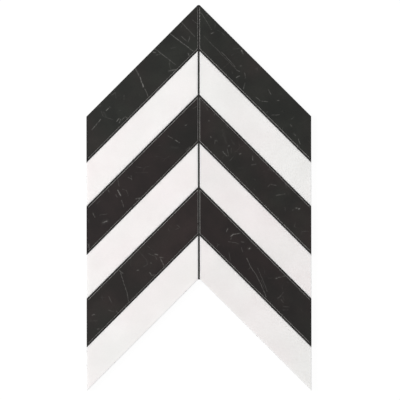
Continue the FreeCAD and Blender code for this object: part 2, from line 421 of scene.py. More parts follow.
# %% Group: film of glue along a net
CREEP = (1.8, 0.3)  # how far from a yarn it is where the glue begins to rise, and where it is thickest
LIFT = 0.22  # how much the noise is lifted there
PUDDLE_RATE = 0.22
PUDDLE_BORDER = 0.03  # the step in the noise over which a puddle ends

glue_film, given, wanted = open_group(
    "Film of glue",
    {"Position": ORIGIN, "Pattern": ORIGIN, "First row": 0.0, "Pitch": 5.0, "Cover": 0.5},
    ("Film",),
)
tree = glue_film
parts = put(tree, "SeparateXYZ", {0: given["Position"]}).outputs
half_pitch = product(tree, given["Pitch"], 0.5)
nearest_yarn = half_pitch
for place in (parts[0], calc(tree, "SUBTRACT", given["First row"], parts[1])):
    moved = calc(tree, "ADD", place, half_pitch)
    in_cell = calc(tree, "FLOORED_MODULO", moved, given["Pitch"])
    aside = calc(tree, "ABSOLUTE", calc(tree, "SUBTRACT", in_cell, half_pitch))
    nearest_yarn = calc(tree, "MINIMUM", nearest_yarn, aside)
creep = fade(tree, nearest_yarn, *CREEP)
puddles = noise(tree, given["Pattern"], PUDDLE_RATE, detail=3.0)
lifted = calc(tree, "MULTIPLY_ADD", creep, LIFT, puddles)
dry = calc(tree, "SUBTRACT", 1.0, given["Cover"])
wet = calc(tree, "ADD", dry, PUDDLE_BORDER)
plug(tree, wanted["Film"], fade(tree, lifted, dry, wet))
print(tree.name, "has", len(tree.nodes), "nodes")

# %% [markdown]
# Where the veins lie
#
# Each black strip has its own veins, and they are what makes a sheet look like stone and not like paint. A
# random pattern would do for a stranger, but this sheet is meant to be recognised. So the veins were placed
# one by one beside the photograph: a width in millimetres, how pale it is from 0 to 1, and the points that it
# runs through, in millimetres on the sheet. A fleck is a vein hardly longer than it is wide.

# %% The veins of the left leg's black strips
VEINS = {}
VEINS["left_strip_1_black"] = (
    (0.7, 0.60, (-17, 176), (-4, 162)),
    (0.8, 0.76, (-29, 165), (-5.5, 147.5)),
    (0.7, 0.70, (-44, 150), (-23.5, 134)),
    (1.8, 0.50, (-63.5, 130), (-60, 122.5)),
    (0.9, 0.80, (-59, 121.5), (-57.5, 117)),
    (1.2, 0.95, (-57.5, 117), (-55.5, 111.5)),
    (0.7, 0.65, (-54, 109.5), (-50, 100)),
    (0.7, 0.50, (-87.5, 103.5), (-84, 106), (-83, 100.5)),
    (1.0, 0.80, (-93, 88), (-90.8, 90)),
    (1.2, 0.50, (-89.5, 91.5), (-88.5, 91)),
    (4.0, 0.22, (-95.5, 86), (-93, 82)),
    (1.2, 0.35, (-98, 87.5), (-96, 82), (-86.5, 79)),
    (0.8, 0.70, (-98.5, 79), (-107, 69)),
    (0.8, 0.82, (-82.5, 77), (-80, 80)),
    (0.8, 0.72, (-80, 75.5), (-78.5, 79)),
    (0.8, 0.62, (-77.5, 78), (-74, 82), (-71.5, 80)),
    (1.3, 0.70, (-30, 127.5), (-23, 129)),
    (1.2, 0.90, (-10.5, 145), (-10, 143.5)),
    (1.4, 0.30, (-28, 150.5), (-23, 151)),
    (0.8, 0.56, (-17, 162), (-12, 157.5)),
    (0.8, 0.60, (-9, 162), (-10.5, 156.5)),
    (0.7, 0.50, (-6.5, 179), (-1, 174.5)),
    (0.8, 0.40, (-17.5, 171.5), (-15.5, 175)),
    (1.2, 0.75, (-46, 146.5), (-43.5, 146)),
    (0.9, 0.50, (-43, 143.5), (-38.5, 144.5)),
    (0.8, 0.40, (-75, 103.5), (-75, 99)),
    (1.3, 0.35, (-102, 91), (-98.5, 93)),
)
VEINS["left_strip_3_black"] = (
    (0.9, 0.45, (-31, 62.5), (-26, 59.5)),
    (1.1, 0.75, (-23.5, 58), (-19.5, 55.5)),
    (1.8, 0.50, (-13.5, 73), (-12.5, 73.5)),
    (4.0, 0.20, (-27, 51), (-21, 50.5)),
    (1.6, 0.50, (-12.5, 48), (-9, 51)),
    (0.8, 0.50, (-81.5, 19), (-80, 12)),
    (1.1, 0.95, (-81.5, 8), (-78.5, 2.5)),
    (0.9, 0.45, (-83.5, 3.5), (-82, 1)),
    (1.0, 0.60, (-77.5, -2.5), (-75.5, -8.5)),
    (0.9, 0.40, (-77, 9), (-72.5, 7.5), (-71, 2.5)),
    (1.0, 0.50, (-71, 21), (-67.5, 19)),
    (0.9, 0.45, (-68, 22.5), (-67.5, 18)),
    (1.2, 0.20, (-63, 25.5), (-51, 25.5)),
    (1.1, 0.50, (-91.5, 8), (-90, 6)),
    (0.9, 0.58, (-106.5, -15), (-104.5, -19)),
    (0.9, 0.45, (-99.5, -17), (-92.5, -16)),
    (2.2, 0.72, (-96, -24.5), (-92.5, -23)),
    (1.2, 0.80, (-63, -1), (-58.5, 0)),
    (0.9, 0.75, (-110.5, -45.5), (-110.5, -50)),
    (0.8, 0.40, (-110.5, -21.5), (-110.5, -24.5)),
    (0.8, 0.45, (-5.5, 90), (-1.5, 92)),
    (1.8, 0.25, (-102.5, -5.5), (-99, -2.5)),
)
VEINS["left_strip_5_black"] = (
    (0.8, 0.58, (-78.5, -75), (-75.5, -85.5), (-72.5, -94), (-70.5, -105)),
    (1.0, 0.65, (-80.5, -72.5), (-76.5, -75.5)),
    (1.2, 0.70, (-44, -56.5), (-41.5, -57)),
    (1.0, 0.58, (-39.5, -59.5), (-36, -60)),
    (0.9, 0.65, (-38.5, -61), (-34.5, -70)),
    (1.3, 0.35, (-51, -55.5), (-44, -58.5), (-42, -61.5)),
    (1.0, 0.80, (-49.5, -75), (-47.5, -77.5), (-42, -77.5)),
    (1.3, 0.60, (-62, -72.5), (-60.5, -72.5)),
    (1.5, 0.25, (-60, -54), (-53, -61.5), (-51.5, -66.5), (-55.5, -69)),
    (0.9, 0.25, (-68.5, -60.5), (-68.5, -68.5)),
    (1.2, 0.50, (-48.5, -65), (-48, -65.5)),
    (1.2, 0.80, (-107, -117.5), (-105, -117)),
    (1.2, 0.65, (-101.5, -131.5), (-100.5, -131)),
    (3.0, 0.20, (-109.5, -123.5), (-102.5, -123)),
    (1.2, 0.40, (-90.5, -99), (-88, -104.5)),
    (1.0, 0.40, (-91, -112.5), (-86, -114)),
    (1.3, 0.45, (-83, -113.5), (-81, -115.5)),
    (0.8, 0.40, (-22, -27), (-19.5, -29.5)),
    (0.8, 0.35, (-23.5, -32), (-20.5, -30.5)),
)
print("veins placed:", sum(map(len, VEINS.values())))

# %% The veins of the right leg's black strips
VEINS["right_strip_1_black"] = (
    (0.7, 0.55, (2.5, 186), (9, 175.5), (13, 169)),
    (1.2, 0.60, (12.5, 165), (15, 166)),
    (0.7, 0.35, (5, 163), (10, 157.5)),
    (0.7, 0.50, (10, 157.5), (21.5, 146)),
    (0.7, 0.57, (23, 146.5), (36.5, 132)),
    (0.7, 0.42, (21.5, 145.5), (38.5, 128.5)),
    (0.9, 0.62, (38.5, 128.5), (41, 127)),
    (1.0, 0.30, (30.5, 135.5), (25, 131)),
    (0.9, 0.40, (35, 149.5), (41.5, 150.5)),
    (1.3, 0.75, (43, 148), (44.5, 145)),
    (1.0, 0.35, (23.5, 166), (26.5, 162.5)),
    (1.3, 0.80, (41.5, 132.5), (42.5, 132.5)),
    (1.1, 0.68, (38, 121), (41, 122.5)),
    (0.9, 0.50, (46, 125.5), (47, 120.5)),
    (0.9, 0.66, (46.5, 115.5), (45, 109.5)),
    (0.8, 0.62, (70, 108.5), (72.5, 104)),
    (0.8, 0.55, (57.5, 101), (61.5, 97.5)),
    (0.9, 0.55, (63.5, 97), (69.5, 96.5)),
    (1.0, 0.58, (79, 98), (80.5, 98)),
    (0.8, 0.45, (66.5, 85.5), (69.5, 86.5)),
    (0.8, 0.52, (73, 83), (81, 83.5)),
    (0.9, 0.45, (93, 79), (95.5, 81)),
    (1.1, 0.58, (92, 73.5), (93, 72)),
    (1.8, 0.46, (95.5, 64), (97, 62.5)),
    (0.8, 0.66, (100, 59), (101.5, 54)),
    (0.8, 0.40, (8, 184), (11.5, 180.5)),
)
VEINS["right_strip_3_black"] = (
    (1.3, 0.55, (9.5, 77.5), (10.5, 77.5)),
    (1.3, 0.55, (12, 61.5), (12.5, 60.5)),
    (5.0, 0.18, (24, 68), (27.5, 55)),
    (3.0, 0.20, (32.5, 58), (35.5, 54)),
    (1.4, 0.70, (29.5, 52), (30.5, 52.5)),
    (0.8, 0.50, (28.5, 49), (30, 42)),
    (0.8, 0.35, (32.5, 50), (32.5, 45)),
    (1.2, 0.58, (24, 46.5), (28.5, 42)),
    (1.3, 0.75, (41, 44), (42, 44.5)),
    (1.1, 0.60, (54, 42), (54, 38)),
    (1.0, 0.50, (53, 33), (57.5, 34)),
    (0.8, 0.20, (39.5, 30), (44.5, 30)),
    (1.0, 0.50, (69.5, 11.5), (72, 13.5), (77.5, 12.5)),
    (1.1, 0.52, (78, 2.5), (86.5, 4)),
    (1.2, 0.40, (87, 14), (88, 10.5)),
    (1.2, 0.68, (97.5, -10.5), (98.5, -10.5)),
    (1.3, 0.88, (100, -11.5), (101, -11)),
    (1.2, 0.45, (94, -12.5), (94.5, -12)),
    (1.0, 0.25, (47.5, 17), (48.5, 14.5)),
    (0.9, 0.45, (15.5, 83.5), (18, 85)),
)
VEINS["right_strip_5_black"] = (
    (1.1, 0.65, (27.5, -34), (29, -31)),
    (1.2, 0.78, (32, -38.5), (34.5, -36.5)),
    (1.0, 0.68, (34.5, -36.5), (41.5, -35.5)),
    (0.9, 0.50, (33, -37), (32, -41.5)),
    (0.9, 0.42, (29.5, -44), (37.5, -45)),
    (2.2, 0.42, (38.5, -45.5), (39.5, -46)),
    (1.2, 0.55, (43, -44), (45, -44.5)),
    (1.6, 0.85, (50, -51), (51, -50.5)),
    (0.9, 0.40, (42.5, -49.5), (44, -54)),
    (1.1, 0.35, (30, -54.5), (31.5, -63.5)),
    (0.7, 0.67, (48, -60.5), (51.5, -68.5), (57.5, -77.5), (62, -86.5), (67.5, -99.5)),
    (0.8, 0.45, (59, -70.5), (64, -82.5), (68.5, -94)),
    (0.8, 0.35, (62.5, -82.5), (65.5, -91)),
    (1.4, 0.60, (77, -81), (78.5, -80.5)),
    (1.0, 0.54, (79.5, -80), (87, -78.5)),
    (0.9, 0.25, (69.5, -80.5), (73.5, -80.5)),
    (1.0, 0.48, (79, -101), (82, -98.5), (84.5, -95)),
    (1.0, 0.46, (82.5, -102), (84.5, -105)),
    (0.9, 0.36, (84, -99), (85.5, -102.5)),
    (1.1, 0.36, (84.5, -109), (90, -109.5)),
    (1.1, 0.31, (84, -112.5), (89.5, -112.5)),
    (1.0, 0.40, (99.5, -91), (102.5, -94.5)),
)
print("veins placed:", sum(map(len, VEINS.values())))

# %% [markdown]
# Two stones
#
# Black and white strips are the same craft in two stones, so one recipe makes both, and a short table of
# values tells the stones apart. White marble also lets light a few millimetres in, which softens its edges.
# Black marble does not. Every strip was cut from another place in the block, so a second table holds each
# strip's own brightness and how warm it is at either end.

# %% The two stones
STONES = {
    "black": {
        "deep": (0.0085, 0.0085, 0.0085),
        "pale": (0.0150, 0.0150, 0.0150),
        "cool": (0.95, 1.02, 0.82),
        "warm": (1.52, 0.97, 0.93),
        "cloud": 24.0,
        "vein": (0.260, 0.255, 0.240),
        "network": 0.14,
        "speckle": 0.08,
        # Painted shading on the arris: the free arris is painted darker than the stone so that it catches no
        # light, and the joint arris gets a painted highlight
        "free_arris_painted_shading": (0.002, 0.002, 0.002),
        "joint_arris_painted_highlight": (0.370, 0.360, 0.345),
        "chip_and_pit_shade": (0.035, 0.034, 0.032),
        "sawn": (0.070, 0.068, 0.065),
        "sawn_mark": (0.110, 0.108, 0.104),
        "honed_roughness": 0.40,
        "let_in": 0.0,
    },
    "white": {
        "deep": (0.852, 0.852, 0.852),
        "pale": (0.894, 0.894, 0.894),
        "cool": (1.008, 1.000, 0.984),
        "warm": (1.048, 0.992, 0.990),
        "cloud": 36.0,
        "vein": (0.620, 0.610, 0.600),
        "network": 0.05,
        "speckle": 0.010,
        # White's arris is painted paler than its face, which is painted light that lifts the shade on the
        # bevel, at a free edge and in a joint alike
        "free_arris_painted_shading": (0.950, 0.945, 0.940),
        "joint_arris_painted_highlight": (0.950, 0.945, 0.940),
        # A chip on white marble is painted grey, which is painted shade in its pit
        "chip_and_pit_shade": (0.400, 0.390, 0.375),
        "sawn": (0.800, 0.785, 0.765),
        "sawn_mark": (0.720, 0.708, 0.690),
        "honed_roughness": 0.42,
        "let_in": 0.8,
    },
}

# Each strip's own brightness, and its warmth at the middle joint and at its outer end
TONES = {
    "left_strip_1_black": (1.00, 0.34, 0.36),
    "right_strip_1_black": (1.00, 0.12, 0.52),
    "left_strip_2_white": (1.00, 0.38, 0.56),
    "right_strip_2_white": (0.975, 0.42, 0.39),
    "left_strip_3_black": (0.64, 0.56, 0.90),
    "right_strip_3_black": (0.88, 0.54, 0.60),
    "left_strip_4_white": (0.995, 0.56, 0.40),
    "right_strip_4_white": (0.96, 0.56, 0.68),
    "left_strip_5_black": (0.88, 0.58, 0.52),
    "right_strip_5_black": (0.62, 0.72, 0.54),
    "left_strip_6_white": (1.00, 0.58, 0.56),
    "right_strip_6_white": (0.965, 0.70, 0.38),
}
print("stones:", list(STONES), "and tones for", len(TONES), "strips")

# %% [markdown]
# The stone and its veins
#
# A marble finish is built up from the inside out, as the stone was. First comes the body with its clouds and
# crystals. The network and the strip's own veins lie in it, pale in black marble and grey in white. Veins
# that were drawn as straight stretches look like scratches, so noise pushes them about, and it weakens them
# in some spots as real ones are.

# %% Helpers for positions and veins
HALFWAY = (0.5, 0.5, 0.5)  # the colour round which noise varies
FLAT = (1.0, 1.0, 0.0)  # keeps a position's place on the sheet and drops its height


def sheet_position(tree):
    """The point's place on the sheet in millimetres."""
    return scaled(tree, put(tree, "TexCoord").outputs["Object"], 1 / MM)


def wavering(tree, position, pattern, reach, size):
    """The position, pushed about by noise: a straight line drawn through it wavers by the reach."""
    push = put(tree, "TexNoise", {"Vector": pattern, "Scale": 1 / size, "Detail": 3.0}).outputs["Color"]
    push = vector_calc(tree, "SUBTRACT", push, HALFWAY)
    push = vector_calc(tree, "MULTIPLY", push, (2 * reach, 2 * reach, 0.0))
    return vector_calc(tree, "ADD", position, push)


def draw_veins(tree, position, veins):
    """The palest of the strip's veins at each point. Paleness is a judged brightness, and its square is the
    share of calcite, because a quarter of the light already looks half as bright."""
    flat = vector_calc(tree, "MULTIPLY", position, FLAT)
    palest = 0.0
    for width, paleness, *points in veins:
        for start, end in zip(points, points[1:]):
            ends = {"Start": (*start, 0), "End": (*end, 0)}
            stretch = use(tree, vein_stretch, Position=flat, Width=width, **ends)["Mask"]
            palest = calc(tree, "MAXIMUM", palest, product(tree, stretch, paleness**2))
    return palest


print("helpers: sheet_position, wavering, draw_veins")

# %% The stone's colour and its veins
NETWORK = {"Cell": 15.0, "Width": 0.5, "Cover": 0.42}
NETWORK_WAVER = (1.6, 9.0)  # how far a hairline wavers, and over what length
VEIN_WAVER = (0.6, 3.0)
VEIN_STRENGTH = (0.30, 1.05)  # in its weak spots and away from them


def all_veins(tree, position, pattern, firm, strip, stone):
    """The share of vein at each point: the strip's own, weak where it isn't firm, and the network."""
    wavered = wavering(tree, pattern, pattern, *NETWORK_WAVER)
    network = use(tree, hairline_network, Position=wavered, **NETWORK)["Mask"]
    network = product(tree, network, STONES[stone]["network"])
    drawn = draw_veins(tree, wavering(tree, position, pattern, *VEIN_WAVER), VEINS.get(strip, ()))
    drawn = product(tree, drawn, between(tree, firm, *VEIN_STRENGTH))
    return calc(tree, "MAXIMUM", drawn, network)


def honed_colour(tree, body, veins, brightness, values):
    """The honed face's colour: clouds, times warmth, times crystals, and then the veins."""
    colour = tint(tree, body["Cloud"], values["deep"], values["pale"])
    colour = vector_calc(tree, "MULTIPLY", colour, tint(tree, body["Hue"], values["cool"], values["warm"]))
    darkest = brightness * (1 - values["speckle"])
    palest = brightness * (1 + values["speckle"])
    colour = scaled(tree, colour, between(tree, body["Crystal"], darkest, palest))
    return tint(tree, veins, colour, values["vein"])


print("hairlines", NETWORK["Cell"], "mm apart, veins that waver by", VEIN_WAVER[0], "mm")

# %% [markdown]
# What the tools left
#
# Over the stone come the marks of the work: the arris, the sawn sides, and the back with its film of glue.
# In a joint the lower half of the arris is painted pale: a painted highlight for the light that the bevel
# catches there. At a free edge the arris is painted darker than black marble and paler than white marble's
# face, which is painted shade and painted light. Here and there the arris is chipped, and a chip in white
# marble is painted grey, which is painted shade in its pit. Stone is not metal, so all this keeps one plain
# shader, and only colour, roughness and bump change from one face to the next.

# %% The arris
ARRIS = 0.5  # the bevel's width round each honed face
HIGHLIGHT_FROM = (1.0, 2.5)  # how far from the outline the painted highlight begins, and where it is all there
HIGHLIGHT_DEPTH = (0.3, 0.5)  # shares of the arris's depth between which the painted highlight begins
WEAK_HIGHLIGHT = 0.6  # how much of the painted highlight is left in a weak spot
CHIP_RATE = 0.35
CHIP_FROM = (0.64, 0.68)  # the noise at a chip's border


def arris_colour(tree, position, pattern, firm, to_outline, values):
    """The bevel's colour: painted shading at a free edge, a painted highlight in a joint, chipped here and
    there.
    """
    height = put(tree, "SeparateXYZ", {0: position}).outputs[2]
    # Painted highlight: in a joint the lower half of the arris is painted the pale joint colour, for the
    # light that the bevel catches there
    lower_arris = fade(tree, height, face_height - ARRIS * HIGHLIGHT_DEPTH[0], face_height - ARRIS * HIGHLIGHT_DEPTH[1])
    in_joint = fade(tree, to_outline, *HIGHLIGHT_FROM)
    painted_highlight = product(tree, in_joint, lower_arris, between(tree, firm, WEAK_HIGHLIGHT, 1.0))
    colour = tint(tree, painted_highlight, values["free_arris_painted_shading"], values["joint_arris_painted_highlight"])
    # White marble's chips are painted grey, which is painted shade in their pits; black marble's chips are
    # paler broken stone
    chips_and_pit_shade = fade(tree, noise(tree, pattern, CHIP_RATE, detail=5.0), *CHIP_FROM)
    return tint(tree, chips_and_pit_shade, colour, values["chip_and_pit_shade"])


print("arris", ARRIS, "mm wide")

# %% Roughness and relief
CRYSTAL_ROUGHNESS = 0.03  # how much rougher or smoother a crystal is than the honed face as a whole
ARRIS_ROUGHNESS = 0.55
SAWN_ROUGHNESS = 0.80
GLUE_ROUGHNESS = 0.30

# Heights above the ground stone
CRYSTAL_HEIGHT = 0.0015
VEIN_HEIGHT = -0.01
SAW_HEIGHT = 0.05
GLUE_HEIGHT = 0.075


def stone_roughness(tree, crystal, faces, film, honed):
    """Each face's roughness, laid over that of the honed face."""
    roughness = between(tree, crystal, honed - CRYSTAL_ROUGHNESS, honed + CRYSTAL_ROUGHNESS)
    roughness = between(tree, faces["Arris"], roughness, ARRIS_ROUGHNESS)
    roughness = between(tree, faces["Sawn"], roughness, SAWN_ROUGHNESS)
    return between(tree, film, roughness, GLUE_ROUGHNESS)


def stone_relief(tree, crystal, veins, saw_lines, film):
    """The sum of the heights, each times the share in which it is there."""
    relief = product(tree, crystal, CRYSTAL_HEIGHT)
    for share, height in ((veins, VEIN_HEIGHT), (saw_lines, SAW_HEIGHT), (film, GLUE_HEIGHT)):
        relief = calc(tree, "MULTIPLY_ADD", share, height, relief)
    return relief


print("saw marks", SAW_HEIGHT, "mm high, glue", GLUE_HEIGHT, "mm")

# %% Helpers that begin and end a material
def empty_tree(owner):
    """The node tree of a material or a world, with nothing in it."""
    owner.use_nodes = True
    owner.node_tree.nodes.clear()
    return owner.node_tree


def close_material(tree, inputs, relief, bump_strength):
    """Puts the plain shader on the surface, with those inputs and that relief."""
    bump = put(tree, "Bump", {"Strength": bump_strength, "Distance": MM, "Height": relief})
    shader = put(tree, "BsdfPrincipled", {**inputs, "Normal": bump.outputs[0]})
    plug(tree, put(tree, "OutputMaterial").inputs["Surface"], shader.outputs[0])


print("helpers: empty_tree, close_material")

# %% One strip's marble
CRYSTAL_SIZE = 0.9
WEAK_SPOT_RATE = 0.45
FIRM_FROM = (0.34, 0.60)  # the noise between a weak spot and firm stone
SAW_SPACING = 0.9
GLUE_COLOUR = (0.52, 0.50, 0.43)
GLUE_COVER = 0.38  # how readily the glue stands between the yarns
GLUE_STRENGTH = 0.75  # the film is thin enough to let some of the stone through
STONE_GLOSS = 0.2
LIT_RADIUS = (1.0, 1.0, 1.0)  # light of every colour goes equally deep
LIT_DEPTH = 3.0
STONE_BUMP = 0.5


def honed_marble(strip, stone, shift):
    """The material of one strip: its stone's values, its own veins, and a pattern moved by the shift."""
    values = STONES[stone]
    brightness, inner_warmth, outer_warmth = TONES[strip]
    material = bpy.data.materials.new(strip + "_marble")
    tree = empty_tree(material)

    position = sheet_position(tree)
    pattern = vector_calc(tree, "ADD", position, shift)
    faces = use(tree, face_kinds, Normal=put(tree, "TexCoord").outputs["Normal"])
    place = use(tree, sheet_place, Position=position)
    warmth = between(tree, place["Outwards"], inner_warmth, outer_warmth)
    body = use(tree, stone_body, Position=pattern, Cloud=values["cloud"], Warmth=warmth, Crystal=CRYSTAL_SIZE)
    firm = fade(tree, noise(tree, pattern, WEAK_SPOT_RATE, detail=3.0), *FIRM_FROM)
    veins = all_veins(tree, position, pattern, firm, strip, stone)
    saw = use(tree, saw_marks, Position=position, Level=place["Level"], Spacing=SAW_SPACING)["Lines"]
    net = {"First_row": net_point, "Pitch": net_pitch, "Cover": GLUE_COVER}
    glue = use(tree, glue_film, Position=position, Pattern=pattern, **net)["Film"]
    film = product(tree, glue, faces["Back"], GLUE_STRENGTH)

    colour = honed_colour(tree, body, veins, brightness, values)
    arris = arris_colour(tree, position, pattern, firm, place["To outline"], values)
    colour = tint(tree, faces["Arris"], colour, arris)
    colour = tint(tree, faces["Sawn"], colour, tint(tree, saw, values["sawn"], values["sawn_mark"]))
    colour = tint(tree, film, colour, GLUE_COLOUR)
    relief = stone_relief(tree, body["Crystal"], veins, product(tree, saw, faces["Sawn"]), film)
    inputs = {
        "Base Color": colour,
        "Roughness": stone_roughness(tree, body["Crystal"], faces, film, values["honed_roughness"]),
        "Specular IOR Level": STONE_GLOSS,
        "Subsurface Weight": values["let_in"],
        "Subsurface Radius": LIT_RADIUS,
        "Subsurface Scale": LIT_DEPTH * MM,
    }
    close_material(tree, inputs, relief, STONE_BUMP)
    return material


print("marble for", list(STONES))

# %% Dress the strips
BLOCK_STEP = (71.0, 43.0, 17.0)  # how far apart in the block the strips were cut

for leg, side in LEGS.items():
    for course, stone in enumerate(COURSES, start=1):
        strip = f"{leg}_strip_{course}_{stone}"
        shift = (BLOCK_STEP[0] * course, BLOCK_STEP[1] * course * side, BLOCK_STEP[2] * side)
        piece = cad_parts[strip]
        piece.data.materials.clear()
        piece.data.materials.append(honed_marble(strip, stone, shift))
print("dressed", len(LEGS) * len(COURSES), "strips")

# %% [markdown]
# Joint filler
#
# The filler is fine cement with sand in it, wiped hollow along each joint. The hollow is in the model. What
# is left for the finish is the sand: small pale grains that stand a little proud of the cement, and slow
# patches where more or less of the pigment was washed out. Clouds and crystals are already a shader group,
# so the same group gives the patches and the grains, with other sizes.

# %% Cement for the joints
CEMENT_DEEP = (0.012, 0.0115, 0.011)
CEMENT_PALE = (0.026, 0.025, 0.024)
CEMENT_ROUGHNESS = 0.9
CEMENT_BUMP = 0.7
PATCH_SIZE = 12.0
GRAIN_SIZE = 0.35
GRAIN_HEIGHT = 0.08
SAND = (0.14, 0.13, 0.12)
SAND_FROM = (0.62, 0.95)  # the random values of a cell that make it a grain of sand
SAND_SHOWS = 0.30  # the rest of each grain is under cement


def sanded_cement():
    """Dark cement with a sandy grain."""
    material = bpy.data.materials.new("sanded_cement")
    tree = empty_tree(material)
    grain = use(tree, stone_body, Position=sheet_position(tree), Cloud=PATCH_SIZE, Crystal=GRAIN_SIZE)
    colour = tint(tree, grain["Cloud"], CEMENT_DEEP, CEMENT_PALE)
    sand = fade(tree, grain["Crystal"], *SAND_FROM)
    colour = tint(tree, product(tree, sand, SAND_SHOWS), colour, SAND)
    inputs = {"Base Color": colour, "Roughness": CEMENT_ROUGHNESS, "Specular IOR Level": STONE_GLOSS}
    close_material(tree, inputs, product(tree, grain["Crystal"], GRAIN_HEIGHT), CEMENT_BUMP)
    return material


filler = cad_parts["joint_filler"]
filler.data.materials.clear()
filler.data.materials.append(sanded_cement())
print("dressed the joint filler")

# %% [markdown]
# The net on the back
#
# The strips hang together by a net of glass yarn, glued across their backs and hidden once the sheet is on
# the wall. In such a net the yarns do not just cross: two thin warp strands twist round each other, and every
# half turn they grip one flat weft yarn between them. The model has plain bars at the right places. Here they
# become real yarns, as surfaces in two parameters: the way along the yarn, and the angle round it.
# A curve with a bevel could make them too, but over two thousand crossings are quicker as whole arrays.

# %% A yarn as a surface
def yarn_surface(centres, across, half_width, half_height, sides):
    """One closed yarn. Round each centre, at angle a, lies the point
    centre + half_width * cos(a) * across + half_height * sin(a) * up.
    Returns its points, its side faces, its two end faces, and each point's place round and along it."""
    angles = np.arange(sides) * 2 * np.pi / sides
    across = np.asarray(across, float)
    widths = np.broadcast_to(half_width, len(centres))[:, None, None]
    sideways = widths * np.cos(angles)[None, :, None] * across
    upwards = half_height * np.sin(angles)[None, :, None] * np.array([0.0, 0.0, 1.0])
    points = centres[:, None, :] + sideways + upwards

    steps = np.linalg.norm(np.diff(centres, axis=0), axis=1)
    along = np.concatenate([[0.0], np.cumsum(steps)])
    place = np.empty_like(points)
    place[..., 0] = np.cos(angles)
    place[..., 1] = np.sin(angles)
    place[..., 2] = along[:, None]

    side = np.arange(sides)
    turned = (side + 1) % sides
    ring = np.arange(len(centres) - 1)[:, None] * sides
    quads = np.stack([ring + side, ring + turned, ring + turned + sides, ring + side + sides], axis=-1)
    last = (len(centres) - 1) * sides
    ends = np.stack([side[::-1], last + side])
    return points.reshape(-1, 3), quads.reshape(-1, 4), ends, place.reshape(-1, 3)


def join_yarns(name, yarns):
    """One mesh piece from many yarns, with each point's place on its yarn kept as an attribute."""
    points, quads, ends, places = zip(*yarns)
    starts = np.cumsum([0] + [len(own) for own in points[:-1]])
    faces = []
    for kind in (quads, ends):
        faces += np.concatenate([own + start for own, start in zip(kind, starts)]).tolist()
    mesh = bpy.data.meshes.new(name)
    mesh.from_pydata(np.concatenate(points) * MM, [], faces)
    mesh.polygons.foreach_set("use_smooth", np.ones(len(faces), bool))
    place = mesh.attributes.new("place_on_yarn", "FLOAT_VECTOR", "POINT")
    place.data.foreach_set("vector", np.concatenate(places).astype(np.float32).ravel())
    return add_object(name, mesh)


print("helpers: yarn_surface, join_yarns")

# %% [markdown]
# Warp strands
#
# Seen from its end, a pair of strands is two points that go round each other, half a turn for each pitch.
# So sideways each follows a sine and upwards a cosine, and at every weft yarn one strand lies over it and
# the other under it. The strands are as thin as the room that the weft leaves them.

# %% Twist the warp
STEPS_PER_PITCH = 4
STRAND_SIDES = 5
STRAND_TRIM = (0.5, 1.4)  # how far inside the net's outline the scissors cut a strand
SEED = 11

strand_half_height = net_middle / 4
swing_up = net_middle - strand_half_height
strand_half_width = yarn_width / 4
swing_across = yarn_width / 2 - strand_half_width
chance = np.random.default_rng(SEED)


def warp_strand(column, turn, trim):
    """A strand of the pair at that column. The angle grows by half a turn for each pitch down the net, from
    the turn at which the strand starts. Then x is the column plus swing_across * sin(angle), and z is
    the net's middle plus swing_up * cos(angle)."""
    top = net_point - abs(column) * fall_rate
    count = round(net_depth / net_pitch * STEPS_PER_PITCH)
    y = np.linspace(top - trim[0], top - net_depth + trim[1], count)
    angle = (net_point - y) / net_pitch * np.pi + turn
    x = column + swing_across * np.sin(angle)
    z = net_middle + swing_up * np.cos(angle)
    centres = np.stack([x, y, z], axis=-1)
    return yarn_surface(centres, (-1, 0, 0), strand_half_width, strand_half_height, STRAND_SIDES)


outer_column = math.floor(warp_high.x / net_pitch)
columns = np.arange(-outer_column, outer_column + 1) * net_pitch
pair_turns = (0, np.pi)
strands = [
    warp_strand(column, turn, chance.uniform(*STRAND_TRIM, 2)) for column in columns for turn in pair_turns
]
warp = join_yarns("net_warp", strands)
print("warp:", len(strands), "strands,", len(warp.data.polygons), "faces")

# %% [markdown]
# Weft yarns
#
# The weft lies straight, because the warp does the twisting. It is a flat bundle, pinched a little where
# each pair grips it, and it strays a tenth of a millimetre from its line. Below the corner of the notch a
# row falls in two, one piece for each leg. The ends stop short by uneven amounts, as scissors leave them.

# %% Lay the weft
WEFT_SIDES = 8
WEFT_TRIM = (0.0, 0.8)
PINCH = 0.22  # share of its width that the weft loses where a pair grips it
GRIP_POWER = 8  # a higher power makes the pinch shorter
STRAY = 0.12
STRAY_LENGTH = (25, 60)  # how far across the net a stray takes for each radian

weft_half_height = net_middle - 2 * strand_half_height


def weft_yarn(row, start, end):
    """A weft yarn of that row, from start to end across the sheet. Its line strays by the mean of two slow
    sines. Its width is narrowed by the share PINCH * cos(x / pitch * pi) ** GRIP_POWER, which is all of
    PINCH at each pair of strands and almost nothing halfway between two."""
    count = max(2, round((end - start) / net_pitch * STEPS_PER_PITCH))
    x = np.linspace(start + chance.uniform(*WEFT_TRIM), end - chance.uniform(*WEFT_TRIM), count)
    lengths = chance.uniform(*STRAY_LENGTH, 2)
    offsets = chance.uniform(0, 2 * np.pi, 2)
    stray = STRAY * (np.sin(x / lengths[0] + offsets[0]) + np.sin(x / lengths[1] + offsets[1])) / 2
    centres = np.stack([x, net_point - row * net_pitch + stray, np.full(count, net_middle)], axis=-1)
    grip = np.cos(x / net_pitch * np.pi) ** GRIP_POWER
    half_width = yarn_width / 2 * (1 - PINCH * grip)
    return yarn_surface(centres, (0, 1, 0), half_width, weft_half_height, WEFT_SIDES)


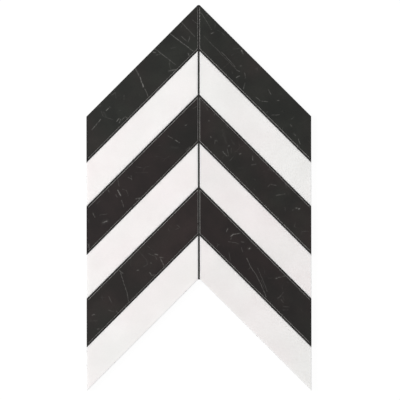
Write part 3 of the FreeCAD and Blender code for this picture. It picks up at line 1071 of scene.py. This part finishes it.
rows = round((net_point - weft_low.y - yarn_width / 2) / net_pitch)
weft_yarns = []
for row in range(1, rows + 1):
    outer = min(row * net_pitch / fall_rate, net_reach)
    inner = (row * net_pitch - net_depth) / fall_rate
    if inner <= 0:
        weft_yarns.append(weft_yarn(row, -outer, outer))
    else:
        weft_yarns.append(weft_yarn(row, -outer, -inner))
        weft_yarns.append(weft_yarn(row, inner, outer))
weft = join_yarns("net_weft", weft_yarns)
print("weft:", len(weft_yarns), "yarns in", rows, "rows,", len(weft.data.polygons), "faces")

# %% [markdown]
# Coated glass
#
# Each yarn is hundreds of glass filaments in a thin white coating. The filaments run along the yarn, so
# their lines must follow it round every twist. That is what the place on the yarn is for: noise that
# changes quickly round the yarn and slowly along it draws lines that go where the yarn goes.

# %% The yarns' finish
FILAMENT_RATE = (5.0, 5.0, 0.25)  # how far the noise moves on round the yarn, and for a millimetre along it
COATING_RATE = (0.2, 0.2, 0.12)
GLASS_DEEP = (0.56, 0.58, 0.56)
GLASS_PALE = (0.80, 0.82, 0.80)
COATING = (0.82, 0.80, 0.72)
COATING_STRENGTH = 0.5
COATING_ROUGHNESS = (0.28, 0.55)
FILAMENT_HEIGHT = 0.04
YARN_BUMP = 0.6


def coated_glass():
    """White coated glass yarn with filament lines along it."""
    material = bpy.data.materials.new("coated_glass_yarn")
    tree = empty_tree(material)
    place = put(tree, "Attribute", attribute_name="place_on_yarn").outputs["Vector"]
    lines = full_noise(tree, vector_calc(tree, "MULTIPLY", place, FILAMENT_RATE), 1.0, detail=3.0)
    coating = noise(tree, vector_calc(tree, "MULTIPLY", place, COATING_RATE), 1.0, detail=2.0)
    colour = tint(tree, lines, GLASS_DEEP, GLASS_PALE)
    colour = tint(tree, product(tree, coating, COATING_STRENGTH), colour, COATING)
    inputs = {"Base Color": colour, "Roughness": between(tree, coating, *COATING_ROUGHNESS)}
    close_material(tree, inputs, product(tree, lines, FILAMENT_HEIGHT), YARN_BUMP)
    return material


yarn_finish = coated_glass()
for piece, node in ((warp, "backing_net_warp"), (weft, "backing_net_weft")):
    piece.data.materials.append(yarn_finish)
    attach(piece, "root")
    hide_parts(node)
print("the net rides on the sheet in place of its plain bars")

# %% [markdown]
# Light, floor and background
#
# The photograph is a plain product picture: soft light from everywhere, a little more of it from the left
# and from above, and white ground all round. More than half of the light here is a pale sky. A large soft
# box high on the left makes the strips there a few percent brighter, and a weaker one on the right fills in.
# The ground is white because of its own material. To the camera it glows, and it still takes the sheet's
# faint shadow. What light the sheet scatters onto it, it gives back evenly, and to all other light it is a
# plain pale floor. From below it is clear, so that the net can be looked at as well.

# %% Sky and soft boxes
WHITE = (1, 1, 1, 1)
SKY = 0.59
SOFT_BOXES = {  # place and size in metres, and watts
    "key_box": ((-1.20, 0.35, 1.45), 1.0, 19.5),
    "fill_box": ((1.70, -0.20, 1.75), 1.4, 3.5),
}


def shown_share(tree):
    """1 for the rays that show a background: from the camera, off a shiny face or through a clear one."""
    rays = put(tree, "LightPath").outputs
    shown = calc(tree, "MAXIMUM", rays["Is Camera Ray"], rays["Is Glossy Ray"])
    return calc(tree, "MAXIMUM", shown, rays["Is Transmission Ray"])


def soft_box(name, place, size, watts):
    """A square lamp that faces the middle of the sheet."""
    lamp = bpy.data.lights.new(name, "AREA")
    lamp.size = size
    lamp.energy = watts
    holder = add_object(name, lamp)
    holder.location = place
    holder.rotation_euler = (-Vector(place)).to_track_quat("-Z", "Y").to_euler()
    holder.visible_camera = False


world = bpy.data.worlds.new("studio")
bpy.context.scene.world = world
tree = empty_tree(world)
strength = between(tree, shown_share(tree), SKY, 1.0)
sky = put(tree, "Background", {"Color": WHITE, "Strength": strength})
plug(tree, put(tree, "OutputWorld").inputs["Surface"], sky.outputs[0])
for name, (place, size, watts) in SOFT_BOXES.items():
    soft_box(name, place, size, watts)
    print(name, watts, "W")
print("sky", SKY)

# %% White ground
FLOOR_REACH = 3.0  # metres from the sheet to the floor's edge
FLOOR_PALE = (0.75, 0.75, 0.75, 1)
FLOOR_GREY = (0.10, 0.10, 0.10, 1)
FLOOR_GLOW = 0.93  # with the light on the grey, this comes to white
GIVEN_BACK = 0.72

floor_mesh = bpy.data.meshes.new("floor")
corners = [(x * FLOOR_REACH, y * FLOOR_REACH, 0) for x, y in ((-1, -1), (1, -1), (1, 1), (-1, 1))]
floor_mesh.from_pydata(corners, [], [(0, 1, 2, 3)])
floor = add_object("floor", floor_mesh)

ground = bpy.data.materials.new("white_ground")
tree = empty_tree(ground)
rays = put(tree, "LightPath").outputs
plain = put(tree, "BsdfDiffuse", {"Color": FLOOR_PALE}).outputs[0]
shaded = put(tree, "BsdfDiffuse", {"Color": FLOOR_GREY}).outputs[0]
glow = put(tree, "Emission", {"Color": WHITE, "Strength": FLOOR_GLOW}).outputs[0]
glowing = put(tree, "AddShader", {0: shaded, 1: glow}).outputs[0]
from_above = put(tree, "MixShader", {0: shown_share(tree), 1: plain, 2: glowing}).outputs[0]
given_back = put(tree, "Emission", {"Color": WHITE, "Strength": GIVEN_BACK}).outputs[0]
from_above = put(tree, "MixShader", {0: rays["Is Diffuse Ray"], 1: from_above, 2: given_back}).outputs[0]
clear = put(tree, "BsdfTransparent").outputs[0]
from_below = put(tree, "NewGeometry").outputs["Backfacing"]
see_through = calc(tree, "MAXIMUM", from_below, rays["Is Shadow Ray"])
surface = put(tree, "MixShader", {0: see_through, 1: from_above, 2: clear}).outputs[0]
plug(tree, put(tree, "OutputMaterial").inputs["Surface"], surface)
floor_mesh.materials.append(ground)
print("floor", 2 * FLOOR_REACH, "m square")
